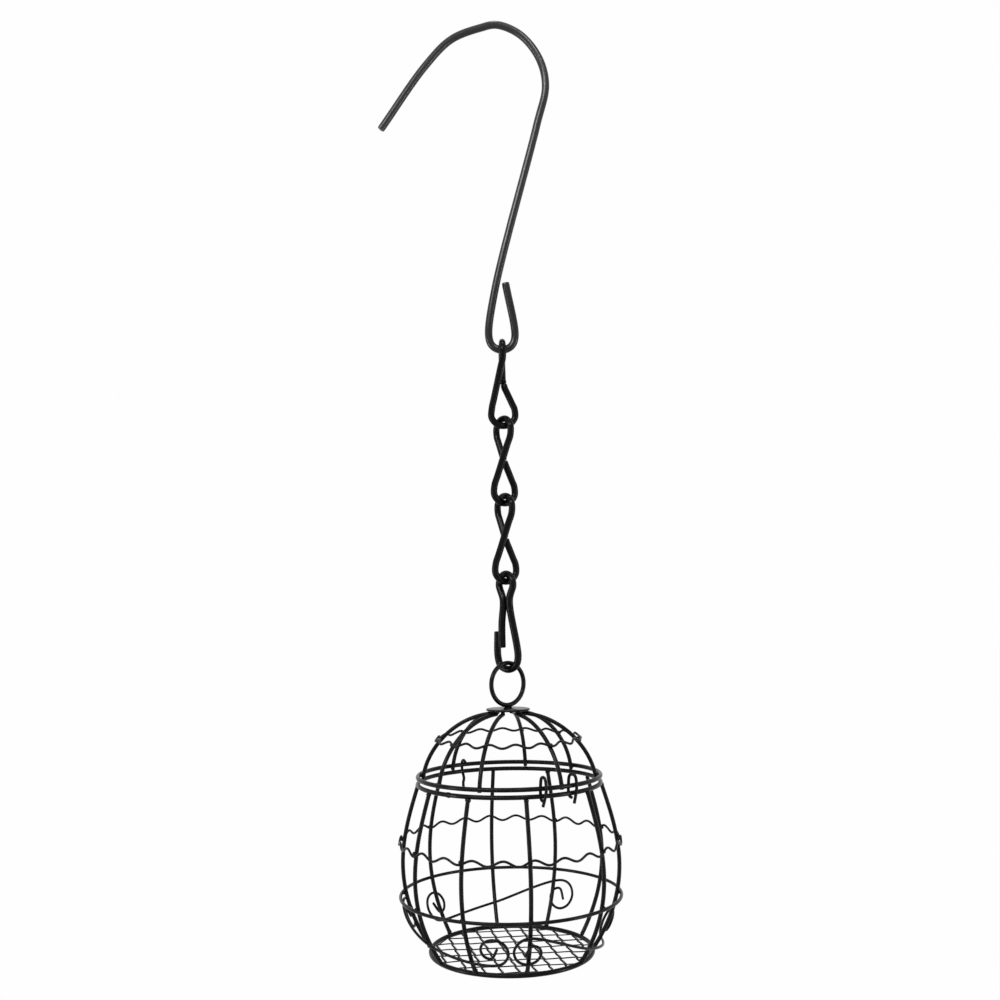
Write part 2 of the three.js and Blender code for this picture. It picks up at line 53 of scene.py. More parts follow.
# Paint on wire: nearly black, with a mottled sheen, orange peel and a little dust, and, where asked, greyer
# higher up as a painted highlight
def satinPaint(name, look):
    material = bpy.data.materials.new(name)
    material.use_nodes = True
    nodes = material.node_tree.nodes
    links = material.node_tree.links
    surface = nodes["Principled BSDF"]
    place = nodes.new("ShaderNodeTexCoord")

    def cloud(scale, detail, grain=paintFilm["grain"]):
        node = nodes.new("ShaderNodeTexNoise")
        node.inputs["Scale"].default_value = scale
        node.inputs["Detail"].default_value = detail
        node.inputs["Roughness"].default_value = grain
        links.new(place.outputs["Object"], node.inputs["Vector"])
        return node.outputs["Fac"]

    def ranged(value, low, high, least, most):
        node = nodes.new("ShaderNodeMapRange")
        node.inputs["From Min"].default_value = low
        node.inputs["From Max"].default_value = high
        node.inputs["To Min"].default_value = least
        node.inputs["To Max"].default_value = most
        links.new(value, node.inputs["Value"])
        return node

    def layer(under, share, colour):
        node = nodes.new("ShaderNodeMix")
        node.data_type = "RGBA"
        node.inputs["B"].default_value = (*colour, 1)
        links.new(share, node.inputs["Factor"])
        links.new(under, node.inputs["A"])
        return node.outputs["Result"]

    tone = nodes.new("ShaderNodeValToRGB")
    for element, end, shade in zip(tone.color_ramp.elements, ("toneFrom", "toneTo"), ("dark", "light")):
        element.position = paintFilm[end]
        element.color = (*look[shade], 1)
    links.new(cloud(look["filmScale"], paintFilm["toneDetail"]), tone.inputs["Fac"])

    specks = cloud(look["dustScale"], paintFilm["dustDetail"], paintFilm["dustGrain"])
    dust = ranged(specks, paintFilm["dustFrom"], paintFilm["dustTo"], 0.0, look["dust"])
    colour = layer(tone.outputs["Color"], dust.outputs["Result"], look["dustColour"])
    # Painted highlight: the base colour is mixed greyer with height, standing in for the light that falls on
    # the top of the hook
    if look["paintedHighlight"]:
        height = nodes.new("ShaderNodeSeparateXYZ")
        links.new(place.outputs["Object"], height.inputs["Vector"])
        highlightShare = ranged(height.outputs["Z"], look["highlightFrom"], look["highlightTo"], 0.0, look["paintedHighlight"])
        highlightShare.interpolation_type = "SMOOTHSTEP"
        colour = layer(colour, highlightShare.outputs["Result"], look["highlightColour"])
    links.new(colour, surface.inputs["Base Color"])

    patches = cloud(look["sheenScale"], paintFilm["sheenDetail"])
    sheen = ranged(patches, paintFilm["sheenFrom"], paintFilm["sheenTo"], look["smooth"], look["rough"])
    links.new(sheen.outputs["Result"], surface.inputs["Roughness"])

    peel = nodes.new("ShaderNodeBump")
    peel.inputs["Strength"].default_value = look["peel"]
    peel.inputs["Distance"].default_value = paintFilm["peelDepth"]
    links.new(cloud(look["peelScale"], paintFilm["peelDetail"]), peel.inputs["Height"])
    links.new(peel.outputs["Normal"], surface.inputs["Normal"])

    surface.inputs["Specular IOR Level"].default_value = look["shine"]
    return material


# The hook is painted greyer with its height, from the lower height given up to the higher one, in metres: a
# painted highlight for the light falling on its upper part
hookLook = {
    "filmScale": 420, "dark": (0.0015, 0.0015, 0.0017), "light": (0.005, 0.0052, 0.0054),
    "dustScale": 2600, "dust": 0.12, "dustColour": (0.06, 0.06, 0.06), "sheenScale": 300,
    "smooth": 0.2, "rough": 0.28, "peel": 0.1, "peelScale": 1500, "shine": 0.28,
    "paintedHighlight": 1.0, "highlightColour": (0.014, 0.014, 0.0145), "highlightFrom": -0.15, "highlightTo": -0.06,
}
chainLook = {
    **hookLook, "dark": (0.0012, 0.0012, 0.0014), "light": (0.004, 0.0041, 0.0043),
    "smooth": 0.14, "rough": 0.2, "shine": 0.075, "paintedHighlight": 0.0,
}
cageLook = {
    **chainLook, "dark": (0.0018, 0.0018, 0.002), "light": (0.006, 0.0062, 0.0064),
    "smooth": 0.2, "rough": 0.3, "shine": 0.085,
}
netLook = {**cageLook, "light": (0.012, 0.0123, 0.0127), "rough": 0.55}
hookPaint = satinPaint("hookPaint", hookLook)
chainPaint = satinPaint("chainPaint", chainLook)
cagePaint = satinPaint("cagePaint", cageLook)
netPaint = satinPaint("netPaint", netLook)
print("paints ready")


# What the wires share: how finely a bend is drawn, the sheared edge of a cut end, and the uneven thickness
wireShape = {
    "arcStep": 45, "curvePoints": 16, "shortest": 1e-9, "sides": 14,
    "cutFace": 0.72, "cutShoulder": 0.93, "cutDepth": 0.1, "edgeAngle": 50,
    "uneven": 0.012, "swellPace": 0.22, "swellSkew": 0.37, "swellStart": 1.7,
}


# A point in the upright plane through the hanging line, turned by yaw, with a step square to it
def planePoint(yaw, along, height, across=0.0):
    turn = math.radians(yaw)
    x = along * math.cos(turn) - across * math.sin(turn)
    y = along * math.sin(turn) + across * math.cos(turn)
    return Vector((x, y, height))


def arcPoints(yaw, radius, middle, start, end, across=None):
    count = round(abs(end - start) / wireShape["arcStep"])
    points = []
    for i in range(count + 1):
        angle = math.radians(start + (end - start) * i / count)
        step = across * i / count if across else 0.0
        points.append(planePoint(yaw, radius * math.cos(angle), middle + radius * math.sin(angle), step))
    return points


# A smooth line through points, sampled at even steps
def smoothLine(points, step):
    dense = []
    last = len(points) - 1
    count = wireShape["curvePoints"]
    for i in range(last):
        p1, p2 = points[i], points[i + 1]
        p0 = points[i - 1] if i else p1 * 2 - p2
        p3 = points[i + 2] if i + 2 <= last else p2 * 2 - p1
        spans = ((p0, p1), (p1, p2), (p2, p3))
        d0, d1, d2 = (max((b - a).length, wireShape["shortest"]) ** 0.5 for a, b in spans)
        t1 = ((p1 - p0) / d0 - (p2 - p0) / (d0 + d1) + (p2 - p1) / d1) * d1
        t2 = ((p2 - p1) / d1 - (p3 - p1) / (d1 + d2) + (p3 - p2) / d2) * d1
        square = p2 * 3 - p1 * 3 - t1 * 2 - t2
        cube = p1 * 2 - p2 * 2 + t1 + t2
        for k in range(count):
            t = k / count
            dense.append(p1 + t1 * t + square * t * t + cube * t ** 3)
    dense.append(points[-1].copy())
    return evenSteps(dense, step)


def evenSteps(dense, step):
    lengths = [0.0]
    for a, b in zip(dense, dense[1:]):
        lengths.append(lengths[-1] + (b - a).length)
    count = max(2, round(lengths[-1] / step))
    even = []
    k = 0
    for i in range(count + 1):
        want = lengths[-1] * i / count
        while k < len(lengths) - 2 and lengths[k + 1] < want:
            k += 1
        span = max(lengths[k + 1] - lengths[k], wireShape["shortest"])
        even.append(dense[k].lerp(dense[k + 1], (want - lengths[k]) / span))
    return even


# Sweeps a round section along a line in millimetres, from one cut end to the other or round a closed hoop
def sweepWire(mesh, line, diameter, closed=False, sides=wireShape["sides"], seed=0.0):
    count = len(line)
    tangents = []
    for i in range(count):
        before = line[i - 1] if i or closed else line[0]
        after = line[(i + 1) % count] if i < count - 1 or closed else line[-1]
        tangents.append((after - before).normalized())
    side = tangents[0].orthogonal().normalized()
    sideways = [side]
    for i in range(1, count):
        turn = tangents[i - 1].rotation_difference(tangents[i])
        side = turn @ side
        side = (side - tangents[i] * side.dot(tangents[i])).normalized()
        sideways.append(side)
    drift = 0.0  # turn that a closed hoop's section gains on its way round
    if closed:
        back = tangents[-1].rotation_difference(tangents[0]) @ side
        drift = math.atan2(back.cross(sideways[0]).dot(tangents[0]), back.dot(sideways[0]))

    def ring(centre, tangent, sideVector, radius):
        across = tangent.cross(sideVector)
        return [
            mesh.verts.new((centre + (sideVector * math.cos(a) + across * math.sin(a)) * radius) * mm)
            for a in (2 * math.pi * k / sides for k in range(sides))
        ]

    def bridge(a, b):
        for k in range(sides):
            mesh.faces.new((a[k], a[(k + 1) % sides], b[(k + 1) % sides], b[k]))

    rings = []
    radius = diameter / 2
    face, shoulder = radius * wireShape["cutFace"], radius * wireShape["cutShoulder"]
    swellPlace = Vector((seed, wireShape["swellSkew"] * seed, wireShape["swellStart"]))
    if not closed:
        inside = line[0] + tangents[0] * radius * wireShape["cutDepth"]
        rings.append(ring(line[0], tangents[0], sideways[0], face))
        rings.append(ring(inside, tangents[0], sideways[0], shoulder))
    for i in range(count) if closed else range(1, count - 1):
        sideVector = Matrix.Rotation(drift * i / count, 3, tangents[i]) @ sideways[i]
        swell = 1 + wireShape["uneven"] * noise.noise(line[i] * wireShape["swellPace"] + swellPlace)
        rings.append(ring(line[i], tangents[i], sideVector, radius * swell))
    if not closed:
        inside = line[-1] - tangents[-1] * radius * wireShape["cutDepth"]
        rings.append(ring(inside, tangents[-1], sideways[-1], shoulder))
        rings.append(ring(line[-1], tangents[-1], sideways[-1], face))
    for a, b in zip(rings, rings[1:]):
        bridge(a, b)
    if closed:
        bridge(rings[-1], rings[0])
    else:
        mesh.faces.new(list(reversed(rings[0])))
        mesh.faces.new(rings[-1])


def addPiece(name, mesh, paint, body, nodes=()):
    data = bpy.data.meshes.new(name)
    bmesh.ops.recalc_face_normals(mesh, faces=mesh.faces)
    mesh.to_mesh(data)
    mesh.free()
    for face in data.polygons:
        face.use_smooth = True
    data.materials.append(paint)
    piece = bpy.data.objects.new(name, data)
    bpy.context.scene.collection.objects.link(piece)
    edges = piece.modifiers.new("cutEdges", "EDGE_SPLIT")
    edges.split_angle = math.radians(wireShape["edgeAngle"])
    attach(piece, body)
    if nodes:
        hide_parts(*nodes)


def wirePiece(name, line, diameter, paint, body, slot, node, **shape):
    mesh = bmesh.new()
    sweepWire(mesh, line, diameter, **shape)
    addPiece(name, mesh, paint, body, (node,))


# Hook, drawn from its cut tip over the crest and down to the eye
hook = {
    "wire": 3.7, "drop": 157.8, "eyeRadius": 6.2,
    "bends": [(-57.2, -52), (-35.1, -20.1), (-22.3, -7), (-8.1, -1.4), (0, 0), (11.4, -5.3), (20.2, -17.1),
              (23.2, -31), (18.6, -50.9)],
    "eyeShoulder": (-3.2, 22.2), "eyeEnd": (2.1, 26.5), "step": 1.0, "sides": 24, "seed": 1.0,
}
crest = hook["wire"] / 2  # the origin is on the underside of the wire there
eyeMiddle = -hook["drop"] - hook["wire"] / 2 + hook["eyeRadius"]
hookLine = smoothLine(
    [Vector((x, 0, crest + z)) for x, z in hook["bends"]]
    + [planePoint(0, hook["eyeShoulder"][0], eyeMiddle + hook["eyeShoulder"][1])]
    + arcPoints(0, hook["eyeRadius"], eyeMiddle, 180, 360)
    + [planePoint(0, hook["eyeEnd"][0], eyeMiddle + hook["eyeEnd"][1])],
    hook["step"],
)
wirePiece("hookWire", hookLine, hook["wire"], hookPaint, "hook", "hook_paint", "hanging_hook",
          sides=hook["sides"], seed=hook["seed"])
print("hook ready")


# Chain links: each a figure of eight with its two loops turned apart and its ends nearly meeting
link = {
    "wire": 3.2, "length": 43.5, "bend": 5.9, "knee": 2.0, "slit": 0.4, "gap": 0.3, "straight": (0.2, 0.8),
    "yaws": [(-88, 8), (-54, 31), (-54, 31)], "step": 0.7, "sides": 20, "seed": 2.0,
}
linkTop = -hook["drop"] + link["gap"] + link["wire"]
linkPitch = link["length"] - 2 * link["wire"] - link["gap"]
linkReach = (link["length"] - link["wire"]) / 2 - link["bend"]
linkTaper = math.asin(link["bend"] / linkReach)


def straightPoints(start, end):
    return [start.lerp(end, share) for share in link["straight"]]


def linkPoints(upper, lower):
    lean = math.degrees(linkTaper)
    kneeOffset = link["knee"] * math.tan(linkTaper)
    upperKnee = planePoint(upper, -kneeOffset, link["knee"])
    lowerKnee = planePoint(lower, kneeOffset, -link["knee"])
    endShare = (1 - link["slit"] / (upperKnee - lowerKnee).length) / 2
    upperBend = arcPoints(upper, link["bend"], linkReach, 180 + lean, -lean)
    lowerBend = arcPoints(lower, link["bend"], -linkReach, 180 - lean, 360 + lean)
    return (
        [upperKnee.lerp(lowerKnee, endShare), upperKnee]
        + straightPoints(upperKnee, upperBend[0]) + upperBend
        + straightPoints(upperBend[-1], lowerBend[0]) + lowerBend
        + straightPoints(lowerBend[-1], lowerKnee)
        + [lowerKnee, lowerKnee.lerp(upperKnee, endShare)]
    )


for i, (upper, lower) in enumerate(link["yaws"]):
    middle = Vector((0, 0, linkTop - link["length"] / 2 - i * linkPitch))
    linkLine = [p + middle for p in smoothLine(linkPoints(upper, lower), link["step"])]
    wirePiece(f"linkWire{i + 1}", linkLine, link["wire"], chainPaint, f"link_{i + 1}", "chain_paint",
              f"chain_link_{i + 1}", sides=link["sides"], seed=link["seed"] + i)
print("chain ready")


# Snap clip: one wire from the foot of its gate, over the top bend and round the low bend to its cut end
clip = {
    "wire": 3.4, "length": 47.8, "topBend": 5.0, "lowBend": 5.6, "waistDrop": 14, "gateDrop": 36,
    "hookDrop": 28.4, "gateOffset": 2.0, "upperYaw": -50, "lowerYaw": -26, "gap": 0.3,
    "step": 0.7, "sides": 20, "seed": 5.0,
}
clipTop = linkTop - 2 * linkPitch - link["length"] + link["wire"] + link["gap"] + clip["wire"]
clipStep = (clip["wire"] + clip["gap"]) / 2
clipWaist = (clip["upperYaw"] + clip["lowerYaw"]) / 2
gateMiddle = (clip["waistDrop"] + clip["gateDrop"]) / 2
topMiddle = -clip["wire"] / 2 - clip["topBend"]
lowMiddle = -clip["length"] + clip["wire"] / 2 + clip["lowBend"]
clipLine = smoothLine(
    [planePoint(clip["lowerYaw"], -clip["gateOffset"], -clip["gateDrop"], -clipStep / 2),
     planePoint(clip["lowerYaw"], -clip["gateOffset"], -gateMiddle, -clipStep / 2),
     planePoint(clipWaist, -clipStep, -clip["waistDrop"])]
    + arcPoints(clip["upperYaw"], clip["topBend"], topMiddle, 180, 0)
    + [planePoint(clipWaist, clipStep, -clip["waistDrop"])]
    + arcPoints(clip["lowerYaw"], clip["lowBend"], lowMiddle, 0, -180, clipStep)
    + [planePoint(clip["lowerYaw"], -clip["lowBend"], -clip["hookDrop"], clipStep)],
    clip["step"],
)
clipLine = [p + Vector((0, 0, clipTop)) for p in clipLine]
wirePiece("clipWire", clipLine, clip["wire"], chainPaint, "clip", "chain_paint", "snap_clip",
          sides=clip["sides"], seed=clip["seed"])
print("clip ready")


# Ring of the lid
ringSet = {"wire": 2.1, "outer": 21.4, "yaw": 39, "gap": 0.3, "points": 90, "sides": 16, "seed": 6.0}
clipBottom = clipTop - clip["length"]
ringTop = clipBottom + clip["wire"] + ringSet["gap"] + ringSet["wire"]
ringMiddle = ringTop - ringSet["outer"] / 2
crownTop = ringTop - ringSet["outer"] - ringSet["gap"]
ringRadius = (ringSet["outer"] - ringSet["wire"]) / 2
ringLine = [
    planePoint(ringSet["yaw"], ringRadius * math.cos(a), ringMiddle + ringRadius * math.sin(a))
    for a in (2 * math.pi * k / ringSet["points"] for k in range(ringSet["points"]))
]
wirePiece("ringWire", ringLine, ringSet["wire"], cagePaint, "lid", "cage_paint", "hanging_ring",
          closed=True, sides=ringSet["sides"], seed=ringSet["seed"])

# Crown of the lid: a round plate pressed from sheet, with a low dome, a rolled edge and a hollow underneath
crown = {
    "radius": 10.2, "edge": 0.9, "dome": 0.2, "lip": 1.4,
    "hollowEdge": 2.6, "hollowRise": 0.15, "hollowMiddle": 0.2,
    "domePoints": 10, "rollPoints": 8, "rollStart": 60, "rollTurn": 150, "turns": 72,
}


def crownProfile():
    radius, edge, dome = crown["radius"], crown["edge"], crown["dome"]
    ball = (radius ** 2 + dome ** 2) / (2 * dome)
    profile = [(0.0, 0.0)]
    for k in range(1, crown["domePoints"]):
        r = radius * k / crown["domePoints"]
        profile.append((r, math.sqrt(ball ** 2 - r ** 2) - ball))
    roll = edge / 2
    for k in range(crown["rollPoints"] + 1):
        angle = math.radians(crown["rollStart"] - crown["rollTurn"] * k / crown["rollPoints"])
        profile.append((radius - roll + roll * math.cos(angle), -dome - roll + roll * math.sin(angle)))
    under = -dome - edge
    return profile + [
        (radius - crown["lip"], under),
        (radius - crown["hollowEdge"], under + crown["hollowRise"]),
        (0.0, under + crown["hollowMiddle"]),
    ]


def crownPlate():
    mesh = bmesh.new()
    turns = crown["turns"]
    rings = []
    for r, z in crownProfile():
        height = crownTop + z
        if r == 0.0:
            rings.append([mesh.verts.new(Vector((0, 0, height)) * mm)])
            continue
        rings.append([
            mesh.verts.new(Vector((r * math.cos(a), r * math.sin(a), height)) * mm)
            for a in (2 * math.pi * k / turns for k in range(turns))
        ])
    for a, b in zip(rings, rings[1:]):
        for k in range(turns):
            n = (k + 1) % turns
            if len(a) == 1:
                mesh.faces.new((a[0], b[k], b[n]))
            elif len(b) == 1:
                mesh.faces.new((a[k], b[0], a[n]))
            else:
                mesh.faces.new((a[k], b[k], b[n], a[n]))
    addPiece("crownPlate", mesh, cagePaint, "lid", ("lid_crown",))


crownPlate()
print("ring and crown ready")


# A bow: one rib's curve in radius and height, with points by share of its length
class Bow:
    steps = 400
    halvings = 40

    def __init__(self, a, b, c, d):
        self.points = []
        for i in range(self.steps + 1):
            t = i / self.steps
            s = 1 - t
            self.points.append(a * s ** 3 + b * (3 * s * s * t) + c * (3 * s * t * t) + d * t ** 3)
        self.lengths = [0.0]
        for p, q in zip(self.points, self.points[1:]):
            self.lengths.append(self.lengths[-1] + (q - p).length)
        self.length = self.lengths[-1]

    def index(self, share):
        want = min(max(share, 0.0), 1.0) * self.length
        low, high = 0, self.steps - 1
        while low < high:
            middle = (low + high + 1) // 2
            if self.lengths[middle] <= want:
                low = middle
            else:
                high = middle - 1
        return low, (want - self.lengths[low]) / (self.lengths[low + 1] - self.lengths[low])

    def point(self, share):
        i, part = self.index(share)
        return self.points[i].lerp(self.points[i + 1], part)

    def tangent(self, share):
        i = self.index(share)[0]
        return (self.points[i + 1] - self.points[i]).normalized()

    def outside(self, share, standOff):
        point, tangent = self.point(share), self.tangent(share)
        return Vector((point.x - tangent.y * standOff, point.y + tangent.x * standOff))

    def shareAt(self, height):
        above, below = 0.0, 1.0
        for _ in range(self.halvings):
            middle = (above + below) / 2
            if self.point(middle).y > height:
                above = middle
            else:
                below = middle
        return (above + below) / 2


# Angles round the cage are counted from the front towards the right
def around(radius, angle, height):
    turn = math.radians(angle)
    return Vector((radius * math.sin(turn), -radius * math.cos(turn), height))


cage = {
    "rimRadius": 42.0, "rimWire": 2.0, "lidHeight": 30.55, "rimSpacing": 3.2, "weld": 0.3, "butt": 0.5,
    "lidRimSeed": 31.0, "basketRimSeed": 32.0, "hoopPoints": 144, "ribPoints": 60, "ribStep": 1.2,
}
lidSet = {
    "wire": 1.9, "start": 6.5, "topReach": 19, "topFall": 1.0, "lean": 8, "footReach": 12, "tail": 1.4,
    "angles": [-137, -94, -51, -19, 34.5, 82, 131, 168], "seed": 10.0,
    "waveWire": 1.1, "waveRise": 15.8, "waveDepth": 0.95, "waveCount": 18, "waveSeed": 35.0,
}
# The solid of the base ring is flat underneath, so the round wire here is thinner by baseRound
basketSet = {
    "drop": 74.8, "belly": 49.7, "wire": 1.9, "lean": 17.5, "topReach": 21, "toeIn": 34, "overlap": 0.45,
    "angles": [9.4, 54, 88, 118, 153, 190.5, 231.5, 266, 303, 335], "seed": 20.0,
    "waveWire": 1.1, "waveDrop": 25.9, "waveDepth": 1.15, "waveCount": 24, "waveSeed": 36.0,
    "bellyWire": 1.5, "bellyDrop": 49.5, "bellySeed": 33.0,
    "baseRadius": 36.8, "baseWire": 2.2, "baseRound": 0.94, "baseSides": 16, "baseSeed": 34.0,
}
lidRim = crownTop - cage["lidHeight"]
basketRim = lidRim - cage["rimSpacing"]
baseHeight = basketRim - basketSet["drop"]


def lidBow():
    lean = math.radians(lidSet["lean"])
    down = Vector((math.sin(lean), -math.cos(lean)))
    inward = Vector((-math.cos(lean), -math.sin(lean)))
    underside = cage["lidHeight"] - crown["edge"] - crown["dome"]
    start = Vector((lidSet["start"], underside - cage["weld"] - lidSet["wire"] / 2))
    seat = Vector((cage["rimRadius"], 0)) + inward * (cage["rimWire"] / 2 + lidSet["wire"] / 2 + cage["weld"])
    top = start + Vector((lidSet["topReach"], -lidSet["topFall"]))
    return Bow(start, top, seat - down * lidSet["footReach"], seat)


def basketBow():
    lean, toe = math.radians(basketSet["lean"]), math.radians(basketSet["toeIn"])
    out = Vector((math.sin(lean), -math.cos(lean)))
    up = Vector((math.sin(toe), math.cos(toe)))
    start = Vector((cage["rimRadius"], 0)) + out * (cage["rimWire"] / 2 + cage["butt"])
    base = Vector((basketSet["baseRadius"], -basketSet["drop"]))
    end = base + up * (basketSet["baseWire"] / 2 + cage["butt"])
    top = start + out * basketSet["topReach"]
    # The third point is set so that the middle of the bow is at the belly
    lowRadius = (basketSet["belly"] - (start.x + end.x) / 8) / (3 / 8) - top.x
    return Bow(start, top, end + up * ((lowRadius - end.x) / math.sin(toe)), end)


lidRibBow = lidBow()
basketRibBow = basketBow()


# Ribs run on past their bow: lid ribs by a tail below the rim, basket ribs up to the rings at both ends
def ribLine(bow, angle, base, ends):
    flat = [bow.point(k / cage["ribPoints"]) for k in range(cage["ribPoints"] + 1)]
    if ends[0]:
        flat.insert(0, flat[0] - bow.tangent(0) * ends[0])
    if ends[1]:
        flat.append(flat[-1] + bow.tangent(1) * ends[1])
    return evenSteps([around(p.x, angle, base + p.y) for p in flat], cage["ribStep"])


for i, angle in enumerate(lidSet["angles"]):
    line = ribLine(lidRibBow, angle, lidRim, (0, lidSet["tail"]))
    wirePiece(f"lidRib{i + 1}", line, lidSet["wire"], cagePaint, "lid", "cage_paint", f"lid_rib_{i + 1}",
              seed=lidSet["seed"] + i)
for i, angle in enumerate(basketSet["angles"]):
    line = ribLine(basketRibBow, angle, basketRim, (basketSet["overlap"], basketSet["overlap"]))
    wirePiece(f"basketRib{i + 1}", line, basketSet["wire"], cagePaint, "basket", "cage_paint",
              f"basket_rib_{i + 1}", seed=basketSet["seed"] + i)
print("ribs ready")


def levelHoop(name, radius, height, wire, body, node, seed, sides=wireShape["sides"]):
    count = cage["hoopPoints"]
    line = [around(radius, 360 * k / count, height) for k in range(count)]
    wirePiece(name, line, wire, cagePaint, body, "cage_paint", node, closed=True, sides=sides, seed=seed)


bellyShare = basketRibBow.shareAt(-basketSet["bellyDrop"])
bellyGap = basketSet["wire"] / 2 + basketSet["bellyWire"] / 2 + cage["weld"]
bellyPlace = basketRibBow.outside(bellyShare, bellyGap)
levelHoop("lidRimHoop", cage["rimRadius"], lidRim, cage["rimWire"], "lid", "lid_rim", cage["lidRimSeed"])
levelHoop("basketRimHoop", cage["rimRadius"], basketRim, cage["rimWire"], "basket", "basket_rim",
          cage["basketRimSeed"])
levelHoop("bellyHoop", bellyPlace.x, basketRim + bellyPlace.y, basketSet["bellyWire"], "basket", "belly_hoop",
          basketSet["bellySeed"])
levelHoop("baseHoop", basketSet["baseRadius"], baseHeight, basketSet["baseWire"] * basketSet["baseRound"],
          "basket", "base_ring", basketSet["baseSeed"], basketSet["baseSides"])

# Wavy hoops: thin wire crimped up and down, a little unevenly, along the outside of the ribs
wave = {"points": 14, "sway": 0.25, "swayPace": 2, "start": 90, "sides": 10}


def wavyHoop(name, bow, base, height, part, body, node):
    middle = bow.shareAt(height)
    standOff = part["wire"] / 2 + part["waveWire"] / 2 + cage["weld"]
    line = []
    steps = part["waveCount"] * wave["points"]
    pace = wave["swayPace"]
    for k in range(steps):
        angle = 360 * k / steps
        turn = math.radians(angle)
        spot = Vector((math.cos(turn) * pace, math.sin(turn) * pace, part["waveSeed"]))
        size = 1 + wave["sway"] * noise.noise(spot)
        rise = math.sin(math.radians(part["waveCount"] * (angle - wave["start"]))) * size
        place = bow.outside(middle + part["waveDepth"] * rise / bow.length, standOff)
        line.append(around(place.x, angle, base + place.y))
    wirePiece(name, line, part["waveWire"], cagePaint, body, "cage_paint", node,
              closed=True, sides=wave["sides"], seed=part["waveSeed"])


wavyHoop("lidWaveHoop", lidRibBow, lidRim, lidSet["waveRise"], lidSet, "lid", "lid_wave_hoop")
wavyHoop("basketWaveHoop", basketRibBow, basketRim, -basketSet["waveDrop"], basketSet, "basket",
         "basket_wave_hoop")
print("hoops ready")


# Scrolls on the lower wall: each has the angle and lift of its two spirals, lift as a share of the room there
scroll = {
    "ends": [((-95, 0.9), (-10.4, 0.0)), ((9.1, 0.0), (97, -0.6)), ((148.5, 0.45), (230.9, 0.05))],
    "wire": 1.2, "sag": 3.5, "curl": 3, "radius": 6.7, "endRadius": 3.0, "sweep": 345,
    "tail": 5.6, "tailLean": 60, "spiralPoints": 8, "step": 0.5, "sides": 12, "seed": 40.0,
}
scrollGap = basketSet["wire"] / 2 + scroll["wire"] / 2 + cage["weld"]
scrollDrop = (basketSet["bellyDrop"] + basketSet["drop"]) / 2
scrollSpare = basketSet["drop"] - scrollDrop - scroll["radius"] - scroll["wire"] / 2
scrollSpare -= basketSet["bellyWire"] / 2 + cage["weld"]
scrollShare = basketRibBow.shareAt(-scrollDrop)
scrollWall = basketRibBow.outside(scrollShare, scrollGap).x


# One scroll drawn flat, from the tail of its left spiral to the tail of its right one
def scrollDrawing(left, right):
    spiral = []
    for k in range(scroll["spiralPoints"] + 1):
        share = k / scroll["spiralPoints"]
        angle = math.radians(scroll["sweep"] * share - 90)
        radius = scroll["radius"] + (scroll["endRadius"] - scroll["radius"]) * share ** scroll["curl"]
        spiral.append(Vector((radius * math.cos(angle), radius * math.sin(angle), 0)))
    lean = math.radians(scroll["tailLean"])
    spiral.append(spiral[-1] + Vector((math.cos(lean), math.sin(lean), 0)) * scroll["tail"])
    middle = (left + right) / 2 - Vector((0, scroll["sag"], 0))
    points = [left - p for p in reversed(spiral)] + [middle] + [right + p for p in spiral]
    return smoothLine(points, scroll["step"])


def scrollPiece(index, angle, drawing):
    line = []
    for p in drawing:
        place = basketRibBow.outside(scrollShare - p.y / basketRibBow.length, scrollGap)
        line.append(around(place.x, angle + math.degrees(p.x / scrollWall), basketRim + place.y))
    wirePiece(f"bentScroll{index + 1}", line, scroll["wire"], cagePaint, "basket", "cage_paint",
              f"bent_scroll_{index + 1}", sides=scroll["sides"], seed=scroll["seed"] + index)


for i, ((first, firstLift), (last, lastLift)) in enumerate(scroll["ends"]):
    halfWidth = scrollWall * math.radians(last - first) / 2
    leftSpiral = Vector((-halfWidth, firstLift * scrollSpare, 0))
    rightSpiral = Vector((halfWidth, lastLift * scrollSpare, 0))
    scrollPiece(i, (first + last) / 2, scrollDrawing(leftSpiral, rightSpiral))
print("scrolls ready")


# Hinge loops and latch: thinner wire bent round the two rims
loop = {
    "wire": 1.4, "gap": 0.35, "angles": [20, 40.5], "rise": 4.7, "tail": 4.2, "spread": 0.5, "tailStep": 1.2,
    "latchAngle": -148.4, "latchLength": 11.3, "latchLean": 0.5, "latchCatch": 0.7, "latchFlare": 1.6,
    "latchEyeEnd": 150, "step": 0.4, "sides": 12, "seed": 50.0, "latchSeed": 52.0,
}
loopSide = cage["rimWire"] / 2 + loop["wire"] / 2 + loop["gap"]


# Turns points drawn outwards along x to their angle round the cage, at the height of the lid's rim
def onWall(points, angle):
    turn = Matrix.Rotation(math.radians(angle - 90), 3, "Z")
    return [turn @ p + Vector((0, 0, lidRim)) for p in points]


def hingeLoop(index):
    spread, spacing = loop["spread"], cage["rimSpacing"]
    shoulder = loop["rise"] - loopSide

    def place(out, along, height):
        return Vector((cage["rimRadius"] + out, along, height))

    def roundRim(angle, along, height):
        turn = math.radians(angle)
        return place(loopSide * math.cos(turn), along, height + loopSide * math.sin(turn))

    points = [
        place(loopSide, -loop["tailStep"], -spacing - loop["tail"]), place(loopSide, 0, -spacing),
        place(loopSide, spread, 0), roundRim(45, spread / 2, shoulder), roundRim(90, 0, shoulder),
        roundRim(135, -spread / 2, shoulder), place(-loopSide, -spread, 0), roundRim(-180, -spread, -spacing),
        roundRim(-135, -spread, -spacing), roundRim(-90, -spread, -spacing),
    ]
    line = smoothLine(onWall(points, loop["angles"][index]), loop["step"])
    wirePiece(f"hingeLoop{index + 1}", line, loop["wire"], cagePaint, "basket", "cage_paint",
              f"hinge_loop_{index + 1}", sides=loop["sides"], seed=loop["seed"] + index)


